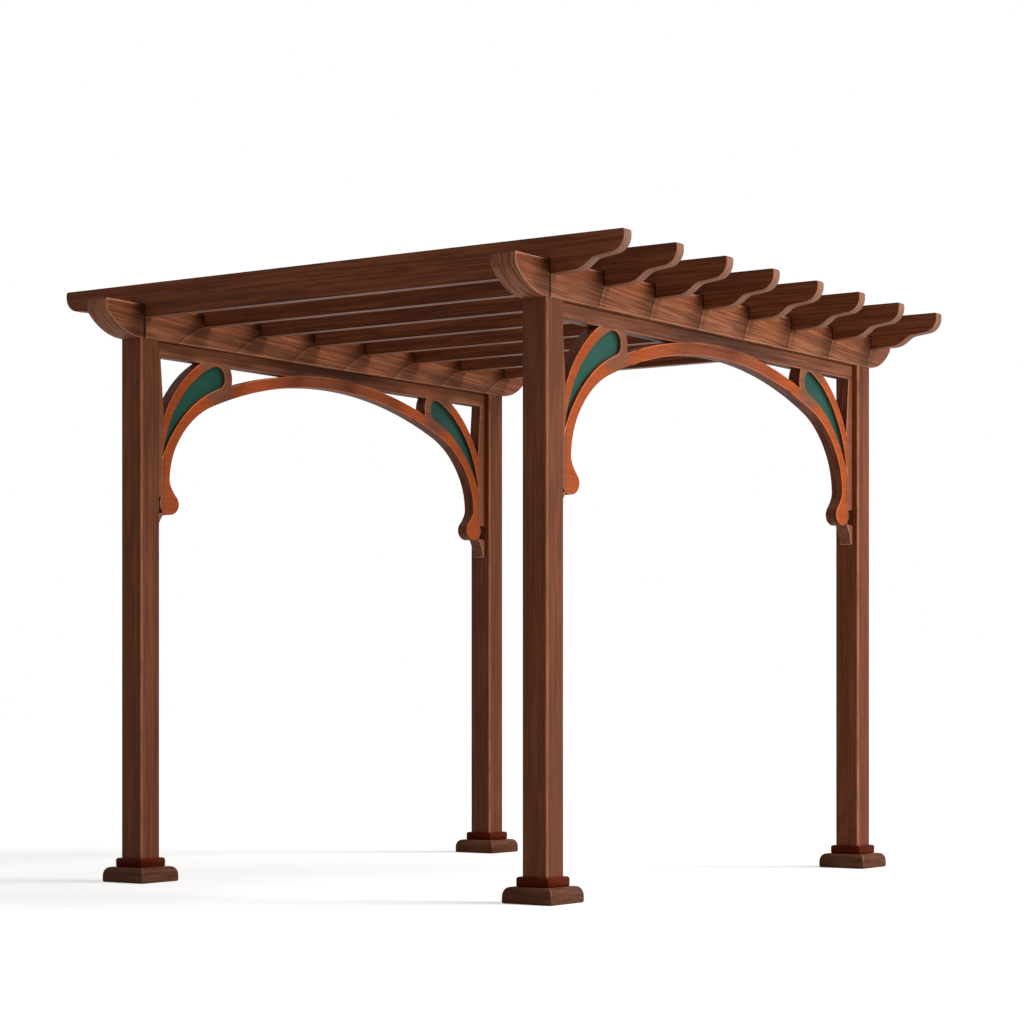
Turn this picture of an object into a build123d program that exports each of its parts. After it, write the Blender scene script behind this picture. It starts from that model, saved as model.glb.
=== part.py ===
from build123d import *
from math import cos, radians, sin, sqrt
import os

# An open timber pergola with an arched fretwork panel under each of its two beams.
# Millimetres, +Z up. The origin lies on the ground, midway between the four posts.
# X runs along the rafters, Y along the beams.

# Layout
bay_width = 2110.0
bay_depth = 2630.0
post_top = 2360.0

# Posts and their bases
post_width = 120.0
post_arris = 4.0
plinth_width = 235.0
plinth_height = 65.0
plinth_round = 20.0
collar_width = 154.0
collar_height = 39.0
collar_round = 6.0

# Beams, whose undersides sweep up at both ends
beam_height = 146.0
beam_overhang = 216.0
beam_nose_rise = 101.0

# Rafters, notched over the beams, with ogee tails
rafter_count = 8
rafter_thickness = 55.0
rafter_height = 144.0
first_rafter_inset = 16.0
last_rafter_overrun = 62.0
notch_depth = 55.0
notch_clearance = 1.0
tail_length = 343.0
tail_flat = 104.0
tail_sweep_radius = 110.0
tail_sweep_angle = 38.0
tail_slope_length = 18.0
tail_crest_radius = 60.0
tail_run_angle = 7.0
tail_nose_radius = 66.0
tail_tip_radius = 12.0

# Fretwork panels, measured from the post's inner face and down from the beam
panel_thickness = 60.0
rail_height = 66.0
spring_drop = 613.0
arch_foot_inset = 98.0
arch_band = 54.0
haunch_radius = 320.0
haunch_angle = 35.0
shoulder_radius = 480.0
shoulder_angle = 34.5
crown_joint_inset = 610.0
stile_top_width = 37.0
stile_foot_width = 60.0
stile_taper_drop = 340.0
stile_drop = 750.0
bow_radius = 592.0
bow_width = 47.0
bow_head_rise = 7.0
tear_lobe_radius = 50.0
tear_head_gap = 5.0
tear_tip_drop = 500.0
tear_back_radius = 640.0
ring_width = 50.0
knob_inset = 92.0
knob_drop = 706.0
knob_width = 116.0
knob_height = 92.0
knob_thickness = 72.0
knob_bevel = 8.0
inlay_thickness = 26.0
inlay_clearance = 0.3
corbel_height = 92.0
corbel_toe = 16.0
corbel_cove = 9.0
corbel_thickness = 64.0

# Sizes that follow
post_bottom = plinth_height + collar_height
post_height = post_top - post_bottom
half_width = bay_width / 2
half_depth = bay_depth / 2
half_span = half_depth - post_width / 2
beam_half_length = half_depth + post_width / 2 + beam_overhang
rafter_bottom = post_top + beam_height - notch_depth
first_rafter = -half_depth - post_width / 2 + first_rafter_inset + rafter_thickness / 2
last_rafter = half_depth + post_width / 2 + last_rafter_overrun - rafter_thickness / 2
rafter_pitch = (last_rafter - first_rafter) / (rafter_count - 1)
sides = {"left": -half_width, "right": half_width}
ends = {"front": -half_depth, "back": half_depth}

os.makedirs("parts", exist_ok=True)


def save(piece, name):
    piece.label = name
    export_step(piece, f"parts/{name}.step")


# Posts, each on a plinth and a collar
for end, y in ends.items():
    for side, x in sides.items():
        with BuildPart() as plinth:
            with BuildSketch():
                with Locations((x, y)):
                    Rectangle(plinth_width, plinth_width)
            extrude(amount=plinth_height)
            fillet(plinth.faces().sort_by(Axis.Z)[-1].edges(), plinth_round)
        save(plinth.part, f"plinth_{end}_{side}")

        with BuildPart() as collar:
            with BuildSketch(Plane.XY.offset(plinth_height)):
                with Locations((x, y)):
                    Rectangle(collar_width, collar_width)
            extrude(amount=collar_height)
            fillet(collar.faces().sort_by(Axis.Z)[-1].edges(), collar_round)
        save(collar.part, f"collar_{end}_{side}")

        with BuildPart() as post:
            with BuildSketch(Plane.XY.offset(post_bottom)):
                with Locations((x, y)):
                    RectangleRounded(post_width, post_width, post_arris)
            extrude(amount=post_height)
        save(post.part, f"post_{end}_{side}")

# Beams along the depth, drawn in side view
for side, x in sides.items():
    with BuildPart() as beam:
        with BuildSketch(Plane.YZ.offset(x)):
            with BuildLine():
                nose_start = (half_depth + post_width / 2, post_top)
                nose_end = (beam_half_length, post_top + beam_nose_rise)
                Line((0, post_top), nose_start)
                TangentArc(nose_start, nose_end, tangent=(1, 0))
                Line(nose_end, (beam_half_length, post_top + beam_height))
                Line((beam_half_length, post_top + beam_height), (0, post_top + beam_height))
                Line((0, post_top + beam_height), (0, post_top))
            make_face()
            mirror(about=Plane.YZ)
        extrude(amount=post_width / 2, both=True)
    save(beam.part, f"beam_{side}")


def rafter_outline():
    """Side view of one half of a rafter, from the middle to the tip of its tail."""
    beam_face = half_width + post_width / 2
    tip = beam_face + tail_length
    top = rafter_bottom + rafter_height
    nose_start_x = tip - tail_nose_radius * (1 - sin(radians(tail_run_angle)))
    with BuildLine() as outline:
        flat = Line((0, rafter_bottom), (beam_face + tail_flat, rafter_bottom))
        sweep = JernArc(flat @ 1, flat % 1, tail_sweep_radius, tail_sweep_angle)
        slope = PolarLine(sweep @ 1, tail_slope_length, tail_sweep_angle)
        crest = JernArc(slope @ 1, slope % 1, tail_crest_radius, tail_run_angle - tail_sweep_angle)
        run_length = (nose_start_x - (crest @ 1).X) / cos(radians(tail_run_angle))
        run = PolarLine(crest @ 1, run_length, tail_run_angle)
        nose = JernArc(run @ 1, run % 1, tail_nose_radius, 90 - tail_run_angle)
        Line(nose @ 1, (tip, top - tail_tip_radius))
        tip_round = JernArc((tip, top - tail_tip_radius), (0, 1), tail_tip_radius, 90)
        Line(tip_round @ 1, (0, top))
        Line((0, top), (0, rafter_bottom))
    return outline


# Rafters across the beams
for index in range(rafter_count):
    y = first_rafter + index * rafter_pitch
    with BuildPart() as rafter:
        with BuildSketch(Plane.XZ.offset(-y)):
            add(rafter_outline().line)
            make_face()
            mirror(about=Plane.YZ)
            with Locations(*[(x, rafter_bottom) for x in sides.values()]):
                Rectangle(
                    post_width + 2 * notch_clearance,
                    2 * notch_depth,
                    mode=Mode.SUBTRACT,
                )
        extrude(amount=rafter_thickness / 2, both=True)
    save(rafter.part, f"rafter_{index + 1}")


def arch_curve():
    """Underside of the front half of an arch: upright foot, haunch, shoulder and crown."""
    with BuildLine() as curve:
        foot = Line((arch_foot_inset - half_span, -knob_drop), (arch_foot_inset - half_span, -spring_drop))
        haunch = JernArc(foot @ 1, foot % 1, haunch_radius, -haunch_angle)
        shoulder = JernArc(haunch @ 1, haunch % 1, shoulder_radius, -shoulder_angle)
    return curve.line, shoulder @ 1


# The crown is one arc, tangent to the shoulders and centred on the panel
lower_arch, crown_start = arch_curve()
crown_start_angle = 90 - haunch_angle - shoulder_angle
crown_radius = -crown_start.X / sin(radians(crown_start_angle))
crown_centre_z = crown_start.Y - crown_radius * cos(radians(crown_start_angle))
crown_joint_x = crown_joint_inset - half_span


def on_crown(radius, x):
    """Point at x on an arc about the crown's centre."""
    return (x, crown_centre_z + sqrt(radius**2 - x**2))


def circle_meeting(first, first_radius, second, second_radius):
    """The right-hand crossing of two circles, looking from the first to the second."""
    across = second - first
    along = (first_radius**2 - second_radius**2 + across.length**2) / (2 * across.length)
    aside = sqrt(first_radius**2 - along**2)
    unit = across.normalized()
    return first + unit * along + Vector(unit.Y, -unit.X) * aside


def bow_point(radius, drop):
    """Point on the post's side of a circle about the bow's centre, at a depth below the beam."""
    rise = -drop - bow_centre.Y
    return Vector(bow_centre.X - sqrt(radius**2 - rise**2), -drop)


# The tear opening: the bow's inner arc, a round lobe under the rail and a back arc, which is
# tangent to the lobe and meets the inner arc at a tip
bow_centre = Vector(bow_radius - half_span, bow_head_rise - bow_radius)
bow_inner_radius = bow_radius - bow_width
lobe_drop = rail_height + tear_head_gap + tear_lobe_radius
lobe_centre = bow_point(bow_inner_radius - tear_lobe_radius, lobe_drop)
tear_tip = bow_point(bow_inner_radius, tear_tip_drop)
back_centre = circle_meeting(
    tear_tip, tear_back_radius, lobe_centre, tear_back_radius + tear_lobe_radius
)
lobe_start = lobe_centre + (lobe_centre - bow_centre).normalized() * tear_lobe_radius
lobe_end = lobe_centre + (back_centre - lobe_centre).normalized() * tear_lobe_radius
lobe_far = lobe_centre + (lobe_centre - tear_tip).normalized() * tear_lobe_radius


def arc_middle(centre, start, end):
    """Middle point of the shorter arc about a centre."""
    radius = (start - centre).length
    return centre + (start - centre + end - centre).normalized() * radius


def tear_face():
    with BuildSketch() as tear:
        with BuildLine():
            ThreePointArc(tear_tip, arc_middle(bow_centre, tear_tip, lobe_start), lobe_start)
            ThreePointArc(lobe_start, lobe_far, lobe_end)
            ThreePointArc(lobe_end, arc_middle(back_centre, lobe_end, tear_tip), tear_tip)
        make_face()
    return tear.sketch


def corner_gap_face():
    """The gap between the stile, the rail and the bow."""
    with BuildSketch() as gap:
        with BuildLine():
            Polyline(
                (-half_span + stile_top_width, -rail_height),
                (-half_span + stile_foot_width, -stile_taper_drop),
                (-half_span + bow_radius, -stile_taper_drop),
                (-half_span + bow_radius, -rail_height),
                close=True,
            )
        make_face()
        with Locations(bow_centre):
            Circle(bow_radius, mode=Mode.SUBTRACT)
    return gap.sketch


def crown_gap_face():
    """The gap between the ring round the lobe, the rail and the top of the arch."""
    with BuildSketch() as gap:
        with Locations((lobe_centre.X, -rail_height)):
            Rectangle(-lobe_centre.X, rail_height * 4, align=(Align.MIN, Align.MAX))
        with Locations(lobe_centre):
            Circle(tear_lobe_radius + ring_width, mode=Mode.SUBTRACT)
        with Locations((0, crown_centre_z)):
            Circle(crown_radius + arch_band, mode=Mode.SUBTRACT)
    return gap.sketch


def panel_plane(x):
    return Plane(origin=(x, 0, post_top), x_dir=(0, 1, 0), z_dir=(1, 0, 0))


def build_rail(x):
    """The rail under the beam, coped over the crown of the arch."""
    with BuildPart() as rail:
        with BuildSketch(panel_plane(x)):
            Rectangle(2 * half_span, rail_height, align=(Align.CENTER, Align.MAX))
            with Locations((0, crown_centre_z)):
                Circle(crown_radius + arch_band, mode=Mode.SUBTRACT)
        extrude(amount=panel_thickness / 2, both=True)
    return rail.part


def build_crown(x):
    """The flat crown of the arch, between its joints with the two brackets."""
    joint = Vector(*on_crown(crown_radius, crown_joint_x)) - Vector(0, crown_centre_z)
    outer = Vector(0, crown_centre_z) + joint.normalized() * (crown_radius + arch_band)
    inner = Vector(0, crown_centre_z) + joint
    with BuildPart() as crown:
        with BuildSketch(panel_plane(x)):
            with BuildLine():
                ThreePointArc(inner, (0, crown_centre_z + crown_radius), (-inner.X, inner.Y))
                Line((-inner.X, inner.Y), (-outer.X, outer.Y))
                top = (0, crown_centre_z + crown_radius + arch_band)
                ThreePointArc((-outer.X, outer.Y), top, outer)
                Line(outer, inner)
            make_face()
        extrude(amount=panel_thickness / 2, both=True)
    return crown.part


def build_bracket(x):
    """Front bracket: stile, bow, lobe ring and arch leg in one board, with a round knob."""
    joint = Vector(*on_crown(crown_radius, crown_joint_x)) - Vector(0, crown_centre_z)
    outer = Vector(0, crown_centre_z) + joint.normalized() * (crown_radius + arch_band)
    inner = Vector(0, crown_centre_z) + joint
    middle = arc_middle(Vector(0, crown_centre_z), crown_start, inner)
    with BuildPart() as bracket:
        with BuildSketch(panel_plane(x)):
            with BuildLine():
                add(lower_arch)
                ThreePointArc(crown_start, middle, inner)
                Line(inner, outer)
                Line(outer, (outer.X, -rail_height))
                Line((outer.X, -rail_height), (-half_span, -rail_height))
                Line((-half_span, -rail_height), (-half_span, -stile_drop))
                Line((-half_span, -stile_drop), (-half_span + stile_foot_width, -stile_drop))
                Line(
                    (-half_span + stile_foot_width, -stile_drop),
                    (-half_span + arch_foot_inset, -knob_drop),
                )
            make_face()
            add(corner_gap_face(), mode=Mode.SUBTRACT)
            add(crown_gap_face(), mode=Mode.SUBTRACT)
            add(tear_face(), mode=Mode.SUBTRACT)
        extrude(amount=panel_thickness / 2, both=True)
        with BuildPart(mode=Mode.PRIVATE) as knob:
            with BuildSketch(panel_plane(x)):
                with Locations((knob_inset - half_span, -knob_drop)):
                    Ellipse(knob_width / 2, knob_height / 2)
            extrude(amount=knob_thickness / 2, both=True)
            chamfer(knob.edges().filter_by(GeomType.ELLIPSE), knob_bevel)
        add(knob.part)
    return bracket.part


def build_inlay(x):
    """Thin coloured panel set back in the tear opening."""
    with BuildPart() as inlay:
        with BuildSketch(panel_plane(x)):
            add(tear_face())
            offset(amount=-inlay_clearance, mode=Mode.REPLACE)
        extrude(amount=inlay_thickness / 2, both=True)
    return inlay.part


def build_corbel(x):
    """Small coved block on the post, under the bracket's foot."""
    with BuildPart() as corbel:
        with BuildSketch(panel_plane(x)):
            with BuildLine():
                top = (-half_span + stile_foot_width, -stile_drop)
                toe = (-half_span + corbel_toe, -stile_drop - corbel_height)
                SagittaArc(top, toe, -corbel_cove)
                Polyline(
                    toe,
                    (-half_span, -stile_drop - corbel_height),
                    (-half_span, -stile_drop),
                    top,
                )
            make_face()
        extrude(amount=corbel_thickness / 2, both=True)
    return corbel.part


# Fretwork panels: a rail and a crown on each side, and brackets in mirrored pairs
for side, x in sides.items():
    save(build_rail(x), f"top_rail_{side}")
    save(build_crown(x), f"arch_crown_{side}")
    pairs = {"bracket": build_bracket, "inlay": build_inlay, "corbel": build_corbel}
    for name, build in pairs.items():
        front = build(x)
        save(front, f"{name}_front_{side}")
        with BuildPart() as back:
            mirror(front, about=Plane.XZ)
        save(back.part, f"{name}_back_{side}")

print("crown underside below beam", round(-crown_centre_z - crown_radius, 1))
print("rafter pitch", round(rafter_pitch, 1))
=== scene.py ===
"""Dresses the pergola: eased timber with grain, green satin inlays, and a plain pale studio."""

import math

import bmesh
import bpy
from bpy.props import FloatProperty, FloatVectorProperty, IntProperty, PointerProperty
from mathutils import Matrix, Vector


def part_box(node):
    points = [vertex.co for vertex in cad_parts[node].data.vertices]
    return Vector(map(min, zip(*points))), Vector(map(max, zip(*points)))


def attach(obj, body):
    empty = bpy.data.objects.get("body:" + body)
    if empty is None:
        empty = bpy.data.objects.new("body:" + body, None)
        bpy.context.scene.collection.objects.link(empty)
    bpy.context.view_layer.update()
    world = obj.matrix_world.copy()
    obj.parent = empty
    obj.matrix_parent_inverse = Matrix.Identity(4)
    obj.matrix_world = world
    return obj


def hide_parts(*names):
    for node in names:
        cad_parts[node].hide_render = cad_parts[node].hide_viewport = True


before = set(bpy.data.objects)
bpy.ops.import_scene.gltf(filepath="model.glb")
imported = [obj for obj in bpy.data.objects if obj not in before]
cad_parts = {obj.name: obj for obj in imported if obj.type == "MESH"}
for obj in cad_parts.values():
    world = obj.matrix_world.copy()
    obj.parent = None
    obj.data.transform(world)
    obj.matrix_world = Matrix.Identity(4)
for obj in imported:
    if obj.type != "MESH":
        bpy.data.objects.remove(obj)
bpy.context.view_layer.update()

bl_info = {
    "name": "Pergola Dressing",
    "version": (1, 0, 0),
    "blender": (4, 5, 0),
    "location": "3D View > Sidebar > Pergola",
    "description": "Eases, grains and paints the pergola's timber, and sets up its studio",
    "category": "Object",
}

SIDES = ("left", "right")
CORNERS = [f"{end}_{side}" for end in ("front", "back") for side in SIDES]
RAFTERS = sorted(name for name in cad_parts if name.startswith("rafter_"))

# The bracket's foot, as distances in from the post's face and down from the beam. The leg
# ends at LEG_END, and its sides run on into the knob up to the angle SHOULDER above its middle.
STILE_WIDTH = 0.060
SLIT_TOP = 0.490
SLIT_FOOT = 0.660
SLIT_FADE = 0.010
LEG_INSET = 0.098
LEG_END = 0.600
SHOULDER = math.radians(35)
KNOB_MIDDLE = (0.096, 0.707)
KNOB_RADII = (0.063, 0.049)
KNOB_STEPS = 24
KNOB_FACE = ((0.02, 0.64), (0.17, 0.64), (0.17, 0.77), (0.02, 0.77))
GAP_TOP = 0.684
GAP_FOOT = 0.757
GAP_TURNS = (212, 200, 185, 170, 155, 140)

# Reaches within which edges, places and borders count as the same, and cutters overrun
SAME_PLACE = 0.00001
SAME_FACE = math.radians(0.2)
SHARP = math.radians(30)
JOINT_REACH = 0.03
BORDER = 0.004
BEYOND = 0.02


# Sizes and colours that a user would change


def measure(name, description, default, **kind):
    return FloatProperty(name=name, description=description, default=default, **kind)


def length(name, description, default):
    return measure(name, description, default, unit="LENGTH")


def angle(name, description, degrees):
    return measure(name, description, math.radians(degrees), subtype="ANGLE")


def share(name, description, default):
    return measure(name, description, default, min=0, max=1)


def spot(name, description, default):
    return FloatVectorProperty(name=name, description=description, default=default, unit="LENGTH")


def colour(name, description, default):
    return FloatVectorProperty(
        name=name, description=description, subtype="COLOR", size=3, min=0, max=1, default=default
    )


class PergolaTimber(bpy.types.PropertyGroup):
    """How the timber is worked."""

    arris: length("Arris", "Width of the eased edges of beams and rafters", 0.0050)
    post_arris: length("Post arris", "Width of the eased edges of the posts", 0.0110)
    fret_arris: length("Fretwork arris", "Width of the eased edges of the fretwork", 0.0048)
    arris_steps: IntProperty(
        name="Arris steps", description="Facets across an eased edge", default=3, min=2, max=6
    )
    plinth_round: length("Plinth round", "How far the plinths' tops draw in", 0.023)
    plinth_fall: length("Plinth fall", "How far down the plinths' rounding reaches", 0.038)
    collar_round: length("Collar round", "Radius of the collars' top edges", 0.009)
    block_corner: length("Block corner", "Radius of the upright corners of plinths and collars", 0.006)
    leg_width: length("Leg width", "Width of the arch's leg above its knob", 0.036)
    slit: length("Slit", "Width of the dark line between leg and stile", 0.006)


class PergolaColours(bpy.types.PropertyGroup):
    """Colours of the oiled timber and the paint, before their grain."""

    post: colour("Posts", "Oiled timber of the posts", (0.212, 0.065, 0.027))
    beam: colour("Beams", "Oiled timber of the beams", (0.300, 0.110, 0.052))
    rafter: colour("Rafters", "Oiled timber of the rafters", (0.228, 0.068, 0.026))
    sawn: colour("Sawn curves", "Paler sawn undersides of the rafters", (0.420, 0.205, 0.138))
    sweep: colour("Sweeps", "Sawn sweeps under the ends of the beams", (0.420, 0.160, 0.080))
    rail: colour("Rails", "Top rails and the rings beside them", (0.285, 0.100, 0.048))
    fretwork: colour("Fretwork", "Orange stain of the bows and arches", (0.468, 0.090, 0.017))
    fret_edge: colour("Fretwork edges", "Browner edges of the fretwork boards", (0.215, 0.062, 0.028))
    corbel: colour("Corbels", "Small blocks under the brackets", (0.300, 0.115, 0.062))
    plinth: colour("Plinths", "Oiled timber of the plinths", (0.163, 0.065, 0.037))
    collar: colour("Collars", "Dark red stain of the collars", (0.120, 0.016, 0.004))
    inlay: colour("Inlays", "Green satin paint of the inlays", (0.012, 0.090, 0.062))


class PergolaStudio(bpy.types.PropertyGroup):
    """Light and camera."""

    key_strength: measure("Key strength", "Strength of the distant key lamp", 1.5, min=0)
    key_spread: angle("Key spread", "Apparent width of the key lamp", 22)
    key_height: angle("Key height", "Angle of the key above the floor", 51)
    key_turn: angle("Key turn", "Turn of the key from +X towards +Y", 34)
    sky_strength: measure("Sky strength", "Brightness of the even light from all round", 0.25, min=0)
    side_power: measure("Side power", "Power of the large soft lamp on the right", 135, unit="POWER")
    side_place: spot("Side place", "Where the soft lamp hangs", (6.2, 0.8, 2.4))
    side_width: length("Side width", "Width of the soft lamp", 3.6)
    floor_grey: share("Floor grey", "How much light the floor throws back", 0.6)
    floor_white: share("Floor white", "How pale the floor looks to the camera", 0.95)
    floor_glow: share("Floor glow", "Part of the floor's white that no shadow dims", 0.52)
    camera_place: spot("Camera place", "Where the camera stands", (6.835, -9.948, 0.818))
    camera_turn: angle("Camera turn", "Turn of the level camera", 34.47)
    camera_lens: measure("Lens", "Focal length in mm on a 36 mm sensor", 93.44, unit="CAMERA")
    camera_shift: measure("Shift", "Upward shift of the picture", 0.1774)


# Nodes


class Value:
    """One output of a node. Sums and products on it add Math nodes to its tree."""

    def __init__(self, graph, link):
        self.graph = graph
        self.link = link

    def math(self, operation, first, second):
        return self.graph.add("ShaderNodeMath", {"operation": operation}, {0: first, 1: second})

    def __add__(self, other):
        return self.math("ADD", self, other)

    def __radd__(self, other):
        return self.math("ADD", other, self)

    def __sub__(self, other):
        return self.math("SUBTRACT", self, other)

    def __rsub__(self, other):
        return self.math("SUBTRACT", other, self)

    def __mul__(self, other):
        return self.math("MULTIPLY", self, other)

    def __rmul__(self, other):
        return self.math("MULTIPLY", other, self)

    def __pow__(self, other):
        return self.math("POWER", self, other)


class Graph:
    """A node tree that is built up by adding nodes."""

    def __init__(self, tree):
        self.tree = tree

    def add(self, kind, settings=None, inputs=None, output=0):
        """Adds a node: settings first, then values or links for its sockets."""
        node = self.tree.nodes.new(kind)
        for name, value in (settings or {}).items():
            setattr(node, name, value)
        for key, value in (inputs or {}).items():
            socket = node.inputs[key]
            if isinstance(value, Value):
                self.tree.links.new(value.link, socket)
            else:
                socket.default_value = value
        return Value(self, node.outputs[output]) if node.outputs else node

    def outputs(self, kind, settings=None, inputs=None):
        """Adds a node and returns all of its outputs."""
        first = self.add(kind, settings, inputs)
        return [Value(self, socket) for socket in first.link.node.outputs]

    def mix(self, factor, first, second, blend="MIX"):
        """Mixes two colours, given as sockets or as red, green and blue."""
        shades = [s if isinstance(s, Value) else (*s, 1.0) for s in (first, second)]
        settings = {"data_type": "RGBA", "blend_type": blend}
        return self.add("ShaderNodeMix", settings, {0: factor, 6: shades[0], 7: shades[1]}, output=2)

    def absolute(self, value):
        return self.add("ShaderNodeMath", {"operation": "ABSOLUTE"}, {0: value})

    def larger(self, first, second):
        return self.add("ShaderNodeMath", {"operation": "MAXIMUM"}, {0: first, 1: second})

    def step(self, value, low, high):
        """A smooth rise from 0 at low to 1 at high."""
        settings = {"interpolation_type": "SMOOTHSTEP"}
        return self.add("ShaderNodeMapRange", settings, {0: value, 1: low, 2: high, 3: 0.0, 4: 1.0})

    def vector(self, x, y, z):
        return self.add("ShaderNodeCombineXYZ", None, {0: x, 1: y, 2: z})

    def noise(self, vector, detail=2.0, roughness=0.5):
        inputs = {"Vector": vector, "Scale": 1.0, "Detail": detail, "Roughness": roughness}
        return self.add("ShaderNodeTexNoise", {"noise_dimensions": "3D"}, inputs)


def new_material(name):
    material = bpy.data.materials.new(name)
    material.use_nodes = True
    material.node_tree.nodes.clear()
    return material, Graph(material.node_tree)


def finish_material(graph, base, roughness, height, relief, **constants):
    """Adds the surface shader, whose unchanging values are set on its own sockets."""
    normal = graph.add("ShaderNodeBump", None, {"Strength": 1.0, "Distance": relief, "Height": height})
    inputs = {"Base Color": base, "Roughness": roughness, "Normal": normal}
    inputs.update({name.replace("_", " "): value for name, value in constants.items()})
    surface = graph.add("ShaderNodeBsdfPrincipled", None, inputs)
    graph.add("ShaderNodeOutputMaterial", None, {"Surface": surface})


# Timber


# What the plain colour is multiplied by, in red, green and blue
LATE_WOOD = (0.50, 0.42, 0.38)
EARLY_WOOD = (1.34, 1.32, 1.28)
RED_WOOD = (1.12, 0.84, 0.66)
SAW_MARK = (0.44, 0.40, 0.38)
SAWN_FIBRE = (1.3, 1.3, 1.3)
# Pale arrises: partly wear, partly a painted highlight
ARRIS_HIGHLIGHT_AND_WEAR = (2.9, 3.6, 4.6)
# Dark arrises: joints closed against another board, and painted shade on some arrises
JOINT_AND_PAINTED_SHADE = (0.10, 0.08, 0.08)


def board_space(graph, grain):
    """Object coordinates as two lengths across the grain and one along it, shifted for each board."""
    place = graph.add("ShaderNodeTexCoord", None, None, output="Object")
    x, y, z = graph.outputs("ShaderNodeSeparateXYZ", None, {0: place})
    board = surface_mark(graph, "board")
    if grain == "level":
        return z + board * 1.37, (x - y) * 0.05, x + y + board * 2.9, (x, y, z)
    across, over, along = {"X": (y, z, x), "Y": (x, z, y), "Z": (x, y, z)}[grain]
    return across + board * 1.37, over + board * 0.71, along + board * 2.9, (x, y, z)


def stretched(graph, across, over, along, fine, long):
    """The place in a noise whose blotches are 1/fine metres wide and 1/long metres long."""
    return graph.vector(across * fine, over * fine, along * long)


def tinted(graph, plain, tint):
    """A colour times a tint. The plain colour is a socket, or red, green and blue."""
    if isinstance(plain, Value):
        return graph.mix(1.0, plain, tint, "MULTIPLY")
    return tuple(min(part * factor, 1.0) for part, factor in zip(plain, tint))


def timber(
    name, grain, tone, figure=0.3, streaks=0.5, slope=0.0, highlight_and_wear=0.7, shade=None, sawn=None, shine=0.12
):
    """Oiled timber with growth lines, broad streaks, fibres and pores.

    grain is the axis that the grain follows, or level for blocks whose grain runs round
    them. tone is the plain colour, and shade an optional function that gives it from the
    place on the piece instead. figure is the strength of the growth lines, and streaks that
    of the rest, or a function that gives it from the place. slope leans the grain, and worn
    says how pale the arrises are painted, partly as wear and partly as a painted highlight.
    sawn is the colour of the sawn curves with the number of saw marks to a metre, and shine
    is the specular level.
    """
    material, graph = new_material(name)
    across, over, along, place = board_space(graph, grain)
    lean = over + along * slope
    if callable(streaks):
        streaks = streaks(graph, place)

    drift = graph.noise(stretched(graph, across, lean, along, 6.0, 1.1), 1.5)
    broad = graph.noise(stretched(graph, across, lean, along, 24.0, 0.8), 3.0, 0.55)
    narrow = graph.noise(stretched(graph, across, lean, along, 105.0, 2.4), 2.0, 0.6)
    fine = graph.noise(stretched(graph, across, lean, along, 170.0, 4.0), 2.0, 0.6)
    fibre = graph.noise(stretched(graph, across, over, along, 520.0, 16.0), 2.0, 0.6)
    phase = across * 40.0 + lean * 55.0 + drift * 46.0 + narrow * 1.6
    late_wood = graph.step(graph.add("ShaderNodeMath", {"operation": "SINE"}, {0: phase}), 0.15, 1.0)

    plain = shade(graph, place) if shade else tone
    dark = tinted(graph, plain, LATE_WOOD)
    light = tinted(graph, plain, EARLY_WOOD)
    red = tinted(graph, plain, RED_WOOD)

    base = graph.mix(graph.step(broad, 0.30, 0.56) * streaks, plain, light)
    base = graph.mix(graph.step(broad, 0.62, 0.40) * (streaks * 0.9), base, dark)
    base = graph.mix(graph.step(drift, 0.45, 0.70) * (streaks * 0.8), base, red)
    base = graph.mix(late_wood * figure, base, dark)
    base = graph.mix(graph.step(narrow, 0.48, 0.64) * (streaks * 1.2), base, dark)
    base = graph.mix(graph.step(narrow, 0.47, 0.32) * (streaks * 1.1), base, light)
    base = graph.mix(graph.step(fine, 0.54, 0.70) * (streaks * 1.3), base, dark)
    base = graph.mix(graph.step(fibre, 0.45, 0.75) * (streaks * 0.5), base, light)

    if sawn:
        sawn_tone, marks = sawn
        saw = graph.noise(graph.vector(across * marks, over * 7.0, along * 7.0), 1.0)
        kerf = tinted(graph, sawn_tone, SAW_MARK)
        fluff = tinted(graph, sawn_tone, SAWN_FIBRE)
        pale = graph.mix(graph.step(saw, 0.42, 0.60), sawn_tone, kerf)
        pale = graph.mix(graph.step(fibre, 0.40, 0.75) * 0.4, pale, fluff)
        base = graph.mix(surface_mark(graph, "sawn"), base, pale)

    # Pale arrises are partly wear and partly a painted highlight
    rub = graph.step(graph.noise(stretched(graph, across, over, along, 60.0, 9.0), 3.0), 0.25, 0.60)
    highlight_and_wear_mask = surface_mark(graph, "arris") * (rub * 0.5 + 0.5) * highlight_and_wear
    # Dark arrises: joints closed against another board, and painted shade
    joint_and_painted_shade = surface_mark(graph, "seam") * 0.9
    base = graph.mix(highlight_and_wear_mask, base, tinted(graph, plain, ARRIS_HIGHLIGHT_AND_WEAR))
    base = graph.mix(joint_and_painted_shade, base, tinted(graph, plain, JOINT_AND_PAINTED_SHADE))

    rough = fibre * 0.12 + fine * 0.10 + 0.42
    height = fibre * 0.5 - graph.step(fine, 0.54, 0.70) * 0.5 - late_wood * 0.2
    finish_material(graph, base, rough, height, 0.0006, Specular_IOR_Level=shine)
    return material


def surface_mark(graph, name):
    """A piece's own mark, which is 0 where the piece has none."""
    return graph.add("ShaderNodeAttribute", {"attribute_name": name}, None, output="Fac")


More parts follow.
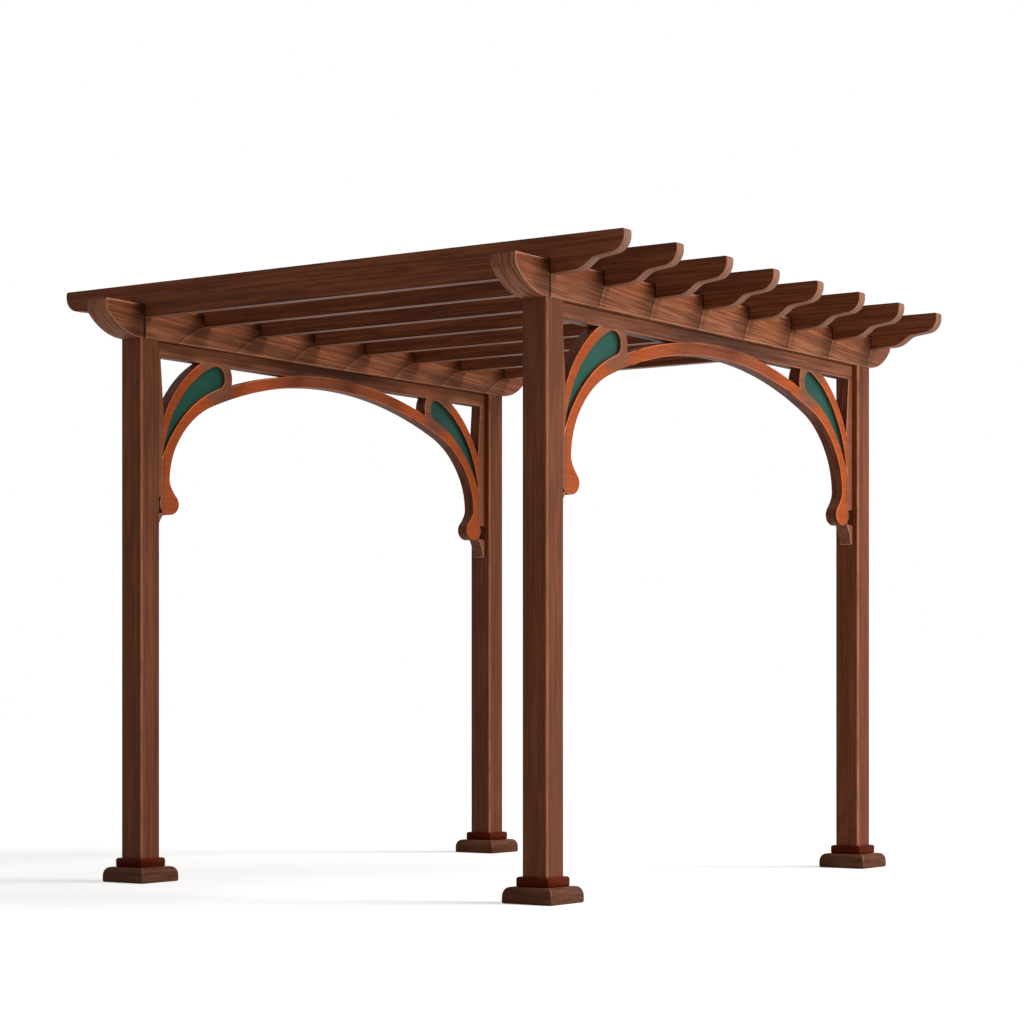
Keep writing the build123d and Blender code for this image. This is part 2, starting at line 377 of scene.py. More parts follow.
def satin_paint(name, tone):
    """Brushed satin paint with a faint unevenness."""
    material, graph = new_material(name)
    across, over, along, _ = board_space(graph, "Z")
    clouds = graph.noise(stretched(graph, across, over, along, 9.0, 6.0), 2.0)
    brush = graph.noise(stretched(graph, across, over, along, 420.0, 9.0), 2.0, 0.6)
    base = graph.mix(graph.step(clouds, 0.3, 0.7), tinted(graph, tone, (0.86, 0.88, 0.9)), tone)
    base = graph.mix(graph.step(brush, 0.5, 0.8) * 0.18, base, tinted(graph, tone, (1.3, 1.25, 1.25)))
    rough = brush * 0.10 + clouds * 0.06 + 0.38
    finish_material(graph, base, rough, brush * 0.5, 0.0002, Specular_IOR_Level=0.16)
    return material


def fretwork_shade(colours, rail_too):
    """Orange stain that turns brown round the lobes of the openings, at the crown and on the rail, and
    darker towards the middle: partly a two-tone stain, partly painted shade under the beam.
    """
    lobe_radius = 0.05
    inlay_low, inlay_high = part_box("inlay_back_right")
    lobe_y = inlay_low.y + lobe_radius
    lobe_z = inlay_high.z - lobe_radius
    bracket_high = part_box("bracket_back_right")[1]
    stile_edge = bracket_high.y - STILE_WIDTH
    rail_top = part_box("top_rail_right")[1].z
    slit_width = bpy.context.scene.pergola_timber.slit
    fretwork = tuple(colours.fretwork)
    rail = tuple(colours.rail)

    def shade(graph, place):
        _, y, z = place
        side_y = graph.absolute(y)
        from_lobe = ((side_y - lobe_y) ** 2.0 + (z - lobe_z) ** 2.0) ** 0.5
        outward = graph.step(side_y, 0.10, 0.75)
        orange = graph.step(from_lobe, 0.09, 0.15) * (outward * 0.72 + 0.28)
        if rail_too:
            on_stile = graph.step(side_y, stile_edge - 0.003, stile_edge + 0.003)
            orange = orange * (1.0 - graph.step(z, bracket_high.z - 0.025, bracket_high.z + 0.004))
            orange = orange * (1.0 - on_stile * 0.85)
        # Brown, darker towards the middle of the span: painted shade under the beam and rafters
        brown = graph.mix(outward, tinted(graph, rail, (0.60, 0.56, 0.54)), rail)
        base = graph.mix(orange, brown, fretwork)
        return slit_and_rail(graph, base, side_y, z, outward) if rail_too else base

    # Painted shadow of a slit between leg and stile, with painted highlights on its edges
    def slit_and_rail(graph, base, side_y, z, outward):
        off_slit = graph.absolute(side_y - stile_edge)
        foot = rail_top - SLIT_FOOT
        top = rail_top - SLIT_TOP
        beside = graph.step(z, foot, foot + SLIT_FADE) * graph.step(z, top, top - SLIT_FADE)
        rim = graph.step(off_slit, slit_width * 1.3, slit_width * 1.1) * beside
        base = graph.mix(rim * 0.6, base, tinted(graph, fretwork, (1.35, 1.9, 2.6)))
        slit = graph.step(off_slit, slit_width * 0.6, slit_width * 0.4) * beside
        base = graph.mix(slit * 0.9, base, tinted(graph, rail, (0.12, 0.10, 0.09)))
        # Painted shade over the rail's middle, under the beam
        on_rail = graph.step(z, bracket_high.z - BORDER, bracket_high.z + BORDER)
        return graph.mix(on_rail * (1.0 - outward) * 0.6, base, tinted(graph, rail, (0.2, 0.2, 0.2)))

    return shade


def bow_streaks(graph, place):
    """Faint streaks on the orange bows, and plain ones on the rail over them."""
    bracket_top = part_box("bracket_back_right")[1].z
    return graph.step(place[2], bracket_top - BORDER, bracket_top + BORDER) * 0.5 + 0.16


# How far the painted shadows lean along the beams, and how much of the first bay they fade over
LEFT_SLANT = 0.175
RIGHT_SLANT = 0.045
FIRST_BAY = 0.2


def painted_bay_shadows(colours):
    """Painted shadow that darkens towards each rafter, with a crisp slanting edge under its near face,
    and painted highlights.
    """
    rafter_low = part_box(RAFTERS[0])[0]
    pitch = (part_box(RAFTERS[-1])[0].y - rafter_low.y) / (len(RAFTERS) - 1)
    beam_low, beam_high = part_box("beam_right")
    drop = rafter_low.z - beam_low.z
    first_line = rafter_low.y + 0.012

    def shade(graph, place):
        x, y, z = place
        below = graph.larger((rafter_low.z - z) * (1 / drop), 0.0)
        reach = graph.step(x, 0.1, -0.1) * (LEFT_SLANT - RIGHT_SLANT) + RIGHT_SLANT
        slant = below ** 0.7 * reach * graph.step(y, first_line + 0.02, first_line + FIRST_BAY)
        bays = (y + slant - first_line) * (1 / pitch) + 4.0
        part = graph.add("ShaderNodeMath", {"operation": "FRACT"}, {0: bays})
        high = graph.step(z, beam_low.z + drop * 0.3, beam_high.z)
        # Painted shadow of the next rafter over each bay, deeper higher up
        painted_shadow = graph.step(part, 0.52, 1.0) * (high * 0.55 + 0.38)
        tone = tuple(colours.beam)
        base = graph.mix(high * 0.6, tone, tinted(graph, tone, (1.15, 0.92, 0.72)))
        base = graph.mix(painted_shadow, base, tinted(graph, tone, (0.18, 0.13, 0.10)))
        foot = graph.step(below, 0.0, 0.05)
        depth = graph.step(y, first_line + FIRST_BAY, first_line) * 0.6 + 0.35
        # Painted dark line on the shadow's crisp edge, strongest at the first rafter
        line = graph.step(part, 0.960, 0.968) * depth
        base = graph.mix(line * foot, base, tinted(graph, tone, (0.08, 0.06, 0.06)))
        # Painted highlights along the beam's top edge and beside the shadow's crisp edge
        crest_highlight = graph.step(z, beam_high.z - 0.012, beam_high.z - 0.008) * graph.step(part, 0.9, 0.75)
        lit_edge = graph.step(part, 0.030, 0.018) * foot
        return graph.mix(lit_edge * 0.45 + crest_highlight * 0.6, base, tinted(graph, tone, (1.8, 1.8, 1.8)))

    return shade


# Meshes


def merged_copy(node):
    """A mesh of a node in the frame, with its loose triangles joined."""
    mesh = bmesh.new()
    mesh.from_mesh(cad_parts[node].data)
    bmesh.ops.remove_doubles(mesh, verts=mesh.verts, dist=SAME_PLACE)
    return mesh


def new_piece(name, mesh):
    data = bpy.data.meshes.new(name)
    mesh.to_mesh(data)
    mesh.free()
    piece = bpy.data.objects.new(name, data)
    bpy.context.scene.collection.objects.link(piece)
    return piece


def settle(piece):
    """Turns the piece's modifiers into plain mesh."""
    bpy.context.view_layer.update()
    scene_state = bpy.context.evaluated_depsgraph_get()
    seen = piece.evaluated_get(scene_state)
    data = bpy.data.meshes.new_from_object(seen, preserve_all_data_layers=True, depsgraph=scene_state)
    piece.modifiers.clear()
    piece.data = data
    data.name = piece.name


def combine(piece, others, operation):
    """Joins the others to the piece or cuts them out of it, and uses them up."""
    for other in others:
        change = piece.modifiers.new("combine", "BOOLEAN")
        change.operation = operation
        change.solver = "EXACT"
        change.object = other
    settle(piece)
    for other in others:
        bpy.data.objects.remove(other)


def prism(outline, low_x, high_x):
    """A solid between two values of x, from its outline of points (y, z)."""
    mesh = bmesh.new()
    flat = mesh.faces.new([mesh.verts.new((low_x, y, z)) for y, z in outline])
    pulled = bmesh.ops.extrude_face_region(mesh, geom=[flat])
    moved = [item for item in pulled["geom"] if isinstance(item, bmesh.types.BMVert)]
    bmesh.ops.translate(mesh, vec=(high_x - low_x, 0, 0), verts=moved)
    bmesh.ops.recalc_face_normals(mesh, faces=mesh.faces)
    return new_piece("blank", mesh)


def nowhere(*place):
    return False


def ease(piece, width, steps, glued=nowhere, seam=nowhere, sawn=nowhere, butted=nowhere):
    """Rounds the piece's sharp edges, and sets its arris, seam and sawn attributes.

    glued says of an edge that it lies in a glue line, where the boards meet flush. seam says
    of a place that the edge there is closed against another board, which darkens it; the
    same dark mark also holds painted shade on some arrises. sawn says of a face's
    middle and normal that it was sawn to a curve, and butted says of a normal that its
    face is the hidden end of a board.
    """
    mesh = bmesh.new()
    mesh.from_mesh(piece.data)
    bmesh.ops.remove_doubles(mesh, verts=mesh.verts, dist=SAME_PLACE)
    bmesh.ops.dissolve_limit(mesh, angle_limit=SAME_FACE, verts=mesh.verts, edges=mesh.edges)
    weight = mesh.edges.layers.float.new("bevel_weight_edge")
    for edge in mesh.edges:
        sharp = edge.calc_face_angle(0.0) > SHARP
        one_cut = all(sawn(face.calc_center_median(), face.normal) for face in edge.link_faces)
        edge[weight] = 1.0 if sharp and not glued(edge) and not one_cut else 0.0
        edge.smooth = not (sharp and glued(edge))
    for face in mesh.faces:
        face.smooth = True
    mesh.to_mesh(piece.data)
    mesh.free()
    for _ in range(2):
        piece.data.materials.append(None)
    bevel = piece.modifiers.new("ease", "BEVEL")
    bevel.limit_method = "WEIGHT"
    bevel.width = width
    bevel.segments = steps
    bevel.use_clamp_overlap = False
    bevel.material = 1
    shading = piece.modifiers.new("shading", "WEIGHTED_NORMAL")
    shading.keep_sharp = True
    settle(piece)
    mark_edges(piece.data, seam, butted)
    cut = [face for face in piece.data.polygons if sawn(face.center, face.normal)]
    mark(piece.data, "sawn", [vertex for face in cut for vertex in face.vertices])


def mark(data, name, vertices):
    """Gives these points the value 1 in an attribute, and all others 0."""
    values = [0.0] * len(data.vertices)
    for vertex in vertices:
        values[vertex] = 1.0
    layer = data.attributes.new(name, "FLOAT", "POINT")
    layer.data.foreach_set("value", values)


def mark_edges(data, seam, butted):
    """Marks the points inside the rounded edges: as arris where pale, partly wear and partly a painted
    highlight, and as seam where dark, at joints closed against another board and as painted shade on
    arrises picked by their normals.
    """
    inside = set(range(len(data.vertices)))
    for face in data.polygons:
        if face.material_index == 0 and not butted(face.normal):
            inside.difference_update(face.vertices)
        face.material_index = 0
    # Dark where closed against another board, and painted shade where the normal picks the arris
    joint_and_painted_shade = {v for v in inside if seam(data.vertices[v].co) or painted_shade_arris(data.vertices[v].normal)}
    mark(data, "arris", inside - joint_and_painted_shade)
    mark(data, "seam", joint_and_painted_shade)
    data.materials.clear()


def painted_shade_arris(normal):
    """Whether an arris of this normal gets painted shade rather than the pale mark: on two opposite
    upright corners, and along upper edges that run along X.
    """
    upright = normal.x * normal.y > 0.12
    upper = normal.z > 0.3 and abs(normal.x) < 0.3 and abs(normal.y) > 0.3
    return upright or upper


def near(value, level, reach=0.008):
    return abs(value - level) < reach


def level(edge):
    """Whether an edge lies level, as those round a post's ends do."""
    low, high = edge.verts
    return abs(low.co.z - high.co.z) < 0.001


def upward(normal):
    """Whether a face of this normal closes an end of a post."""
    return abs(normal.z) > 0.9


def mark_board(piece, number):
    """Gives the whole piece its own stretch of grain."""
    board = piece.data.attributes.new("board", "FLOAT", "POINT")
    board.data.foreach_set("value", [float(number)] * len(piece.data.vertices))


def dress(piece, material, nodes):
    """Gives the piece its finish and puts it in the place of its nodes."""
    if material is not None:
        piece.data.materials.clear()
        piece.data.materials.append(material)
    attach(piece, "root")
    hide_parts(*nodes)


def on_knob(turn):
    """Point on the knob's outline, turning from the middle of the panel downwards."""
    across = KNOB_MIDDLE[0] + KNOB_RADII[0] * math.cos(turn)
    return across, KNOB_MIDDLE[1] + KNOB_RADII[1] * math.sin(turn)


def bend(start, control, end, steps=6):
    """Points on a curve that leaves its start and reaches its end towards its control."""
    points = []
    for step in range(steps + 1):
        t = step / steps
        pulls = ((1 - t) ** 2, 2 * t * (1 - t), t * t)
        points.append(tuple(
            pulls[0] * a + pulls[1] * c + pulls[2] * b for a, c, b in zip(start, control, end)
        ))
    return points


def placed(points, way, rail_high):
    """Insets and drops as y and z, at the back where way is 1 and at the front where it is -1."""
    return [(way * (rail_high.y - inset), rail_high.z - drop) for inset, drop in points]


def knob_outline(sizes, way, rail_high):
    """The leg's foot, which swells into a round knob."""
    outer = LEG_INSET - sizes.leg_width
    half_turn = math.radians(180)
    sweep = half_turn + 2 * SHOULDER
    turns = [-SHOULDER + sweep * step / KNOB_STEPS for step in range(1, KNOB_STEPS)]
    right = bend((LEG_INSET, LEG_END), (LEG_INSET, LEG_END + 0.033), on_knob(-SHOULDER))
    left = bend(on_knob(half_turn + SHOULDER), (outer, LEG_END + 0.060), (outer, LEG_END + 0.040))
    around = [on_knob(turn) for turn in turns]
    return placed([*right, *around, *left, (outer, LEG_END)], way, rail_high)


def foot_cuts(way, rail_low, rail_high):
    """What is cut away at a foot: the knob's proud faces, and the gap between it and the post."""
    edge = [on_knob(math.radians(turn)) for turn in GAP_TURNS]
    gap = [(-0.002, GAP_TOP), *edge, (0.052, GAP_FOOT), (-0.002, GAP_FOOT)]
    cuts = [prism(placed(gap, way, rail_high), rail_low.x - BEYOND, rail_high.x + BEYOND)]
    for face, out in ((rail_high.x, BEYOND), (rail_low.x, -BEYOND)):
        cuts.append(prism(placed(KNOB_FACE, way, rail_high), face, face + out))
    return cuts


def arm_joint(crown_high):
    """Says of an edge that it lies in the joint between an arch's crown and a bracket's arm."""

    def glued(edge):
        start, end = (vertex.co for vertex in edge.verts)
        across = abs(start.x - end.x) > 0.01
        upright = abs(start.z - end.z) > 0.03
        at_joint = near(abs((start.y + end.y) / 2), crown_high.y, JOINT_REACH)
        return at_joint and (across or upright)

    return glued


def board_seam(rail_high):
    """Says of a place that it touches the beam over the board, or a post beside it."""

    def seam(place):
        return near(place.z, rail_high.z) or near(abs(place.y), rail_high.y)

    return seam


def board_edge(crown_high):
    """Says of a face that it is the board's sawn edge, and no end in the arch's joint."""

    def sawn(middle, normal):
        in_joint = near(abs(middle.y), crown_high.y, JOINT_REACH) and abs(normal.y) > 0.6
        return abs(normal.x) < 0.5 and not in_joint

    return sawn


def ringed_block(half, corner, profile):
    """A square block round the Z axis, with round upright corners, from its profile. Their pale arris
    mark is partly wear and partly a painted highlight.

    The profile is a list of how far in from the block's side, and how high, each ring lies.
    """
    turns = [math.radians(degrees) for degrees in (0, 30, 60, 90)]
    mesh = bmesh.new()
    arris = mesh.verts.layers.float.new("arris")
    rings = []
    for inset, height in profile:
        middle = half - inset - corner
        # Pale arris mark, stronger where the upper edge rounds in: partly wear, partly a painted
        # highlight
        highlight_and_wear_mask = 0.35 + 0.65 * (inset > 0 and height > profile[-1][1] / 2)
        ring = []
        for quarter in range(4):
            turn = math.radians(90) * quarter
            x, y = middle, middle
            for _ in range(quarter):
                x, y = -y, x
            for part in turns:
                place = (x + corner * math.cos(turn + part), y + corner * math.sin(turn + part), height)
                ring.append(mesh.verts.new(place))
                ring[-1][arris] = highlight_and_wear_mask * math.sin(2 * part)
        rings.append(ring)
    for low, high in zip(rings, rings[1:]):
        for index in range(len(low)):
            after = (index + 1) % len(low)
            mesh.faces.new([low[index], low[after], high[after], high[index]])
    mesh.faces.new(list(reversed(rings[0])))
    mesh.faces.new(rings[-1])
    for face in mesh.faces:
        face.smooth = True
    return mesh


def rounded_profile(low, high, inset, fall, foot=0.006, steps=8):
    """Profile of a block whose upper edge falls away in a quarter of an ellipse."""
    profile = [(foot, low), (foot * 0.3, low + foot * 0.3), (0.0, low + foot)]
    for step in range(steps + 1):
        turn = math.radians(90) * step / steps
        profile.append((inset * (1 - math.cos(turn)), high - fall + fall * math.sin(turn)))
    return profile


# Geometry trees


def geometry_tree(name, sizes):
    """A geometry tree with a material input and named sizes, and its inputs as a dictionary."""
    tree = bpy.data.node_groups.new(name, "GeometryNodeTree")
    tree.interface.new_socket("Geometry", in_out="OUTPUT", socket_type="NodeSocketGeometry")
    tree.interface.new_socket("Geometry", in_out="INPUT", socket_type="NodeSocketGeometry")
    for label, kind in sizes.items():
        tree.interface.new_socket(label, in_out="INPUT", socket_type=kind)
    tree.interface.new_socket("Material", in_out="INPUT", socket_type="NodeSocketMaterial")
    graph = Graph(tree)
    ports = graph.outputs("NodeGroupInput")
    labels = ["Geometry", *sizes, "Material"]
    return tree, graph, dict(zip(labels, ports))


def repeat_tree(name, sizes, spots):
    """A tree that sets copies of its geometry on spots, numbers them as boards and fuses them.

    spots is a function that makes the points from the graph and the tree's inputs.
    """
    tree, graph, inputs = geometry_tree(name, sizes)
    points = spots(graph, inputs)
    copies = graph.add(
        "GeometryNodeInstanceOnPoints", None, {"Points": points, "Instance": inputs["Geometry"]}
    )
    number = graph.add("GeometryNodeInputIndex")
    numbered = graph.add(
        "GeometryNodeStoreNamedAttribute",
        {"data_type": "FLOAT", "domain": "INSTANCE"},
        {"Geometry": copies, "Name": "board", "Value": number},
    )
    whole = graph.add("GeometryNodeRealizeInstances", None, {"Geometry": numbered})
    dressed = graph.add(
        "GeometryNodeSetMaterial", None, {"Geometry": whole, "Material": inputs["Material"]}
    )
    graph.add("NodeGroupOutput", None, {"Geometry": dressed})
    return tree


def in_a_row(graph, inputs):
    step = graph.vector(0.0, inputs["Pitch"], 0.0)
    return graph.add(
        "GeometryNodeMeshLine", {"mode": "OFFSET"}, {"Count": inputs["Count"], "Offset": step}
    )


def at_four_corners(graph, inputs):
    return graph.add(
        "GeometryNodeMeshGrid",
        None,
        {"Size X": inputs["Width"], "Size Y": inputs["Depth"], "Vertices X": 2, "Vertices Y": 2},
    )


def repeat(piece, tree, values):
    """Runs a repeat tree on the piece with these inputs, and keeps the result as plain mesh."""
    modifier = piece.modifiers.new("repeat", "NODES")
    modifier.node_group = tree
    for item in tree.interface.items_tree:
        if item.in_out == "INPUT" and item.name in values:
            modifier[item.identifier] = values[item.name]
    settle(piece)


# Operators


def eased_pieces(names, material, slot, width, steps, **marks):
    """Eases each of these nodes into a piece of its own."""
    for number, name in enumerate(names):
        piece = new_piece(f"eased_{name}", merged_copy(name))
        ease(piece, width, steps, **marks)
        mark_board(piece, number)
        dress(piece, material, [name])


class PERGOLA_OT_posts(bpy.types.Operator):
    """Ease and oil the four posts"""

    bl_idname = "pergola.posts"
    bl_label = "Posts"

    def execute(self, context):
        sizes = context.scene.pergola_timber
        # The posts' arrises get the full pale mark: wear and a painted highlight
        finish = timber("post_timber", "Z", tuple(context.scene.pergola_colours.post), highlight_and_wear=1.0)
        for number, corner in enumerate(CORNERS):
            low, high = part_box(f"post_{corner}")
            mesh = bmesh.new()
            bmesh.ops.create_cube(mesh, size=1.0)
            bmesh.ops.scale(mesh, vec=high - low, verts=mesh.verts)
            bmesh.ops.translate(mesh, vec=(low + high) / 2, verts=mesh.verts)
            piece = new_piece(f"eased_post_{corner}", mesh)
            ease(piece, sizes.post_arris, sizes.arris_steps, glued=level, butted=upward)
            mark_board(piece, number)
            dress(piece, finish, [f"post_{corner}"])
        return {"FINISHED"}


class PERGOLA_OT_bases(bpy.types.Operator):
    """Round and stain the plinths and collars under the posts"""

    bl_idname = "pergola.bases"
    bl_label = "Plinths and collars"

    def execute(self, context):
        sizes = context.scene.pergola_timber
        colours = context.scene.pergola_colours
        tree = repeat_tree(
            "four_corners", {"Width": "NodeSocketFloat", "Depth": "NodeSocketFloat"}, at_four_corners
        )
        rounds = {
            "plinth": (sizes.plinth_round, sizes.plinth_fall, colours.plinth),
            "collar": (sizes.collar_round, sizes.collar_round, colours.collar),
        }
        for part, (inset, fall, tone) in rounds.items():
            low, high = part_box(f"{part}_front_left")
            middle = (low + high) / 2
            profile = rounded_profile(low.z, high.z, inset, fall)
            mesh = ringed_block((high.x - low.x) / 2, sizes.block_corner, profile)
            piece = new_piece(f"{part}s", mesh)
            finish = timber(f"{part}_timber", "level", tuple(tone), figure=0.2, shine=0.04)
            values = {"Width": -2 * middle.x, "Depth": -2 * middle.y, "Material": finish}
            repeat(piece, tree, values)
            dress(piece, None, [f"{part}_{c}" for c in CORNERS])
        return {"FINISHED"}


class PERGOLA_OT_beams(bpy.types.Operator):
    """Ease and oil the two beams"""

    bl_idname = "pergola.beams"
    bl_label = "Beams"

    def execute(self, context):
        sizes = context.scene.pergola_timber
        colours = context.scene.pergola_colours
        sweep = (tuple(colours.sweep), 95.0)
        look = {"figure": 0.40, "streaks": 0.8, "slope": 0.06, "sawn": sweep}
        # The beams carry painted shadows of the rafters
        finish = timber("beam_timber", "Y", None, shade=painted_bay_shadows(colours), **look)
        sweep_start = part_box("post_back_right")[1].y

        def swept(middle, normal):
            return abs(normal.x) < 0.5 and normal.z < 0.5 and abs(middle.y) > sweep_start

        names = [f"beam_{side}" for side in SIDES]
        eased_pieces(names, finish, "beam_timber", sizes.arris, sizes.arris_steps, sawn=swept)
        return {"FINISHED"}


class PERGOLA_OT_rafters(bpy.types.Operator):
    """Ease one rafter and repeat it over the beams"""

    bl_idname = "pergola.rafters"
    bl_label = "Rafters"

    def execute(self, context):
        sizes = context.scene.pergola_timber
        colours = context.scene.pergola_colours
        look = {"figure": 0.40, "streaks": 0.75, "sawn": (tuple(colours.sawn), 420.0)}
        finish = timber("rafter_timber", "X", tuple(colours.rafter), **look)
        beam_low, beam_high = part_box("beam_right")

        def underneath(middle, normal):
            return abs(normal.y) < 0.5 and normal.z < 0.3

        def in_notch(place):
            over_beam = beam_low.x - 0.01 < abs(place.x) < beam_high.x + 0.01
            return over_beam and place.z < beam_high.z + 0.01

        piece = new_piece("rafters", merged_copy(RAFTERS[0]))
        ease(piece, sizes.arris, sizes.arris_steps, seam=in_notch, sawn=underneath)
        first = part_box(RAFTERS[0])[0].y
        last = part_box(RAFTERS[-1])[0].y
        count = len(RAFTERS)
        tree = repeat_tree(
            "row_of_rafters", {"Count": "NodeSocketInt", "Pitch": "NodeSocketFloat"}, in_a_row
        )
        repeat(piece, tree, {"Count": count, "Pitch": (last - first) / (count - 1), "Material": finish})
        dress(piece, None, RAFTERS)
        return {"FINISHED"}


class PERGOLA_OT_fretwork(bpy.types.Operator):
    """Join each top rail with its two brackets, and set the crown of the arch between them"""

    bl_idname = "pergola.fretwork"
    bl_label = "Fretwork"

    def execute(self, context):
        sizes = context.scene.pergola_timber
        colours = context.scene.pergola_colours
        look = {"figure": 0.06, "streaks": bow_streaks, "sawn": (tuple(colours.fret_edge), 70.0)}
        panel = timber("fretwork_timber", "Y", None, shade=fretwork_shade(colours, True), **look)
        arch = timber("arch_timber", "Y", None, shade=fretwork_shade(colours, False), **look)
        for number, side in enumerate(SIDES):
            brackets = [f"bracket_{end}_{side}" for end in ("front", "back")]
            crown_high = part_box(f"arch_crown_{side}")[1]
            rail_low, rail_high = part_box(f"top_rail_{side}")
            board = new_piece(f"fretwork_{side}", merged_copy(f"top_rail_{side}"))
            blanks = [new_piece(name + "_blank", merged_copy(name)) for name in brackets]
            cuts = []
            for way in (-1, 1):
                blanks.append(prism(knob_outline(sizes, way, rail_high), rail_low.x, rail_high.x))
                cuts += foot_cuts(way, rail_low, rail_high)
            combine(board, blanks, "UNION")
            combine(board, cuts, "DIFFERENCE")
            crown = new_piece(f"crown_{side}", merged_copy(f"arch_crown_{side}"))
            for piece in (board, crown):
                marks = {"glued": arm_joint(crown_high), "sawn": board_edge(crown_high)}
                ease(piece, sizes.fret_arris, sizes.arris_steps, seam=board_seam(rail_high), **marks)
                mark_board(piece, number)
            dress(board, panel, [f"top_rail_{side}", *brackets])
            dress(crown, arch, [f"arch_crown_{side}"])
        return {"FINISHED"}


class PERGOLA_OT_inlays(bpy.types.Operator):
    """Paint the four inlays green"""

    bl_idname = "pergola.inlays"
    bl_label = "Inlays"

    def execute(self, context):
        paint = satin_paint("inlay_paint", tuple(context.scene.pergola_colours.inlay))
        for corner in CORNERS:
            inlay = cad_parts[f"inlay_{corner}"]
            inlay.data.materials.clear()
            inlay.data.materials.append(paint)
        return {"FINISHED"}


class PERGOLA_OT_corbels(bpy.types.Operator):
    """Ease and oil the corbels under the brackets"""

    bl_idname = "pergola.corbels"
    bl_label = "Corbels"

    def execute(self, context):
        sizes = context.scene.pergola_timber
        finish = timber("corbel_timber", "Z", tuple(context.scene.pergola_colours.corbel))
        post_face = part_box("post_back_right")[0].y

        def at_post(place):
            return near(abs(place.y), post_face)

        names = [f"corbel_{corner}" for corner in CORNERS]
        width, steps = sizes.fret_arris, sizes.arris_steps
        eased_pieces(names, finish, "corbel_timber", width, steps, seam=at_post)
        return {"FINISHED"}


FLOOR_HALF = 60.0
FLOOR_DROP = 0.0005
KEY_DISTANCE = 12.0
LIT_MIDDLE = Vector((0.0, 0.0, 1.4))


class PERGOLA_OT_studio(bpy.types.Operator):
    """Set up the pale floor, the lights and the camera"""

    bl_idname = "pergola.studio"
    bl_label = "Studio"

    def execute(self, context):
        studio = context.scene.pergola_studio
        lay_floor(studio)
        light_sky(context.scene, studio)
        hang_lamps(studio)
        place_camera(context.scene, studio)
        context.scene.view_settings.view_transform = "Standard"
        return {"FINISHED"}


def seen_directly(graph):
    """1 for what the camera sees, itself or in gloss or glass, and 0 for light on the object."""
    camera, _, _, glossy, _, _, transmission = graph.outputs("ShaderNodeLightPath")[:7]
    return graph.larger(graph.larger(camera, glossy), transmission)


def lay_floor(studio):
    mesh = bmesh.new()
    bmesh.ops.create_grid(mesh, x_segments=1, y_segments=1, size=FLOOR_HALF)
    bmesh.ops.translate(mesh, vec=(0, 0, -FLOOR_DROP), verts=mesh.verts)
    floor = new_piece("studio_floor", mesh)
    material, graph = new_material("studio_floor")
    seen = seen_directly(graph)
    paper = graph.mix(seen, (studio.floor_grey,) * 3, (studio.floor_white,) * 3)
    matt = graph.add("ShaderNodeBsdfDiffuse", None, {"Color": paper})
    glow = graph.add("ShaderNodeEmission", None, {"Strength": seen * studio.floor_glow})
    both = graph.add("ShaderNodeAddShader", None, {0: matt, 1: glow})
    graph.add("ShaderNodeOutputMaterial", None, {"Surface": both})
    floor.data.materials.append(material)


def light_sky(scene, studio):
    world = bpy.data.worlds.new("studio_sky")
    scene.world = world
    world.use_nodes = True
    world.node_tree.nodes.clear()
    graph = Graph(world.node_tree)
    even = graph.add("ShaderNodeBackground", None, {"Strength": studio.sky_strength})
    white = graph.add("ShaderNodeBackground", None, {"Color": (1.0, 1.0, 1.0, 1.0), "Strength": 1.0})
    blend = graph.add("ShaderNodeMixShader", None, {0: seen_directly(graph), 1: even, 2: white})
    graph.add("ShaderNodeOutputWorld", None, {"Surface": blend})


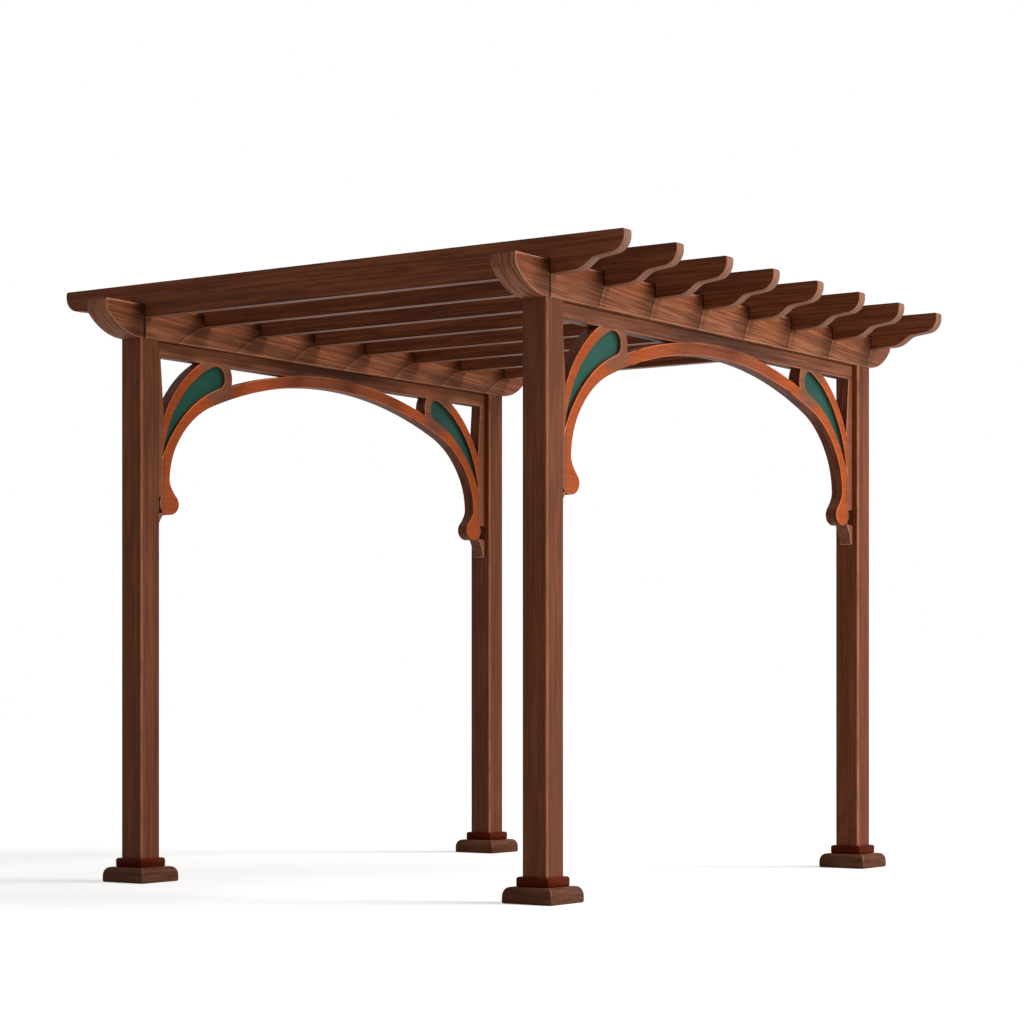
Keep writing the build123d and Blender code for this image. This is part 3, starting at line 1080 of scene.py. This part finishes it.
def hang_lamps(studio):
    flat = math.cos(studio.key_height)
    east = flat * math.cos(studio.key_turn)
    north = flat * math.sin(studio.key_turn)
    to_key = Vector((east, north, math.sin(studio.key_height)))
    key = bpy.data.lights.new("key_lamp", "SUN")
    key.energy = studio.key_strength
    key.angle = studio.key_spread
    key.color = (1.0, 0.97, 0.93)
    aim("key_lamp", key, to_key * KEY_DISTANCE)
    side = bpy.data.lights.new("side_lamp", "AREA")
    side.energy = studio.side_power
    side.shape = "DISK"
    side.size = studio.side_width
    aim("side_lamp", side, Vector(studio.side_place))


def aim(name, light, place):
    """Adds a lamp at a place, turned towards the middle of the pergola."""
    lamp = bpy.data.objects.new(name, light)
    bpy.context.scene.collection.objects.link(lamp)
    lamp.location = place
    lamp.rotation_euler = (LIT_MIDDLE - place).to_track_quat("-Z", "Y").to_euler()


def place_camera(scene, studio):
    """A level camera, shifted up rather than tilted, so that upright edges stay upright."""
    lens = bpy.data.cameras.new("camera")
    lens.lens = studio.camera_lens
    lens.sensor_width = 36.0
    lens.shift_y = studio.camera_shift
    lens.clip_end = 200.0
    camera = bpy.data.objects.new("camera", lens)
    scene.collection.objects.link(camera)
    camera.location = studio.camera_place
    camera.rotation_euler = (math.radians(90), 0.0, studio.camera_turn)
    scene.camera = camera


STEPS = (
    PERGOLA_OT_posts,
    PERGOLA_OT_bases,
    PERGOLA_OT_beams,
    PERGOLA_OT_rafters,
    PERGOLA_OT_fretwork,
    PERGOLA_OT_inlays,
    PERGOLA_OT_corbels,
    PERGOLA_OT_studio,
)


class PERGOLA_PT_panel(bpy.types.Panel):
    """Lists the steps that dress the pergola"""

    bl_label = "Pergola"
    bl_space_type = "VIEW_3D"
    bl_region_type = "UI"
    bl_category = "Pergola"

    def draw(self, context):
        for step in STEPS:
            self.layout.operator(step.bl_idname)


GROUPS = {
    "pergola_timber": PergolaTimber,
    "pergola_colours": PergolaColours,
    "pergola_studio": PergolaStudio,
}


def register():
    for group in (*GROUPS.values(), *STEPS, PERGOLA_PT_panel):
        bpy.utils.register_class(group)
    for name, group in GROUPS.items():
        setattr(bpy.types.Scene, name, PointerProperty(type=group))


def unregister():
    for name in GROUPS:
        delattr(bpy.types.Scene, name)
    for group in (PERGOLA_PT_panel, *STEPS, *GROUPS.values()):
        bpy.utils.unregister_class(group)


def main():
    register()
    for step in STEPS:
        operators, name = step.bl_idname.split(".")
        getattr(getattr(bpy.ops, operators), name)()


if __name__ == "__main__":
    main()
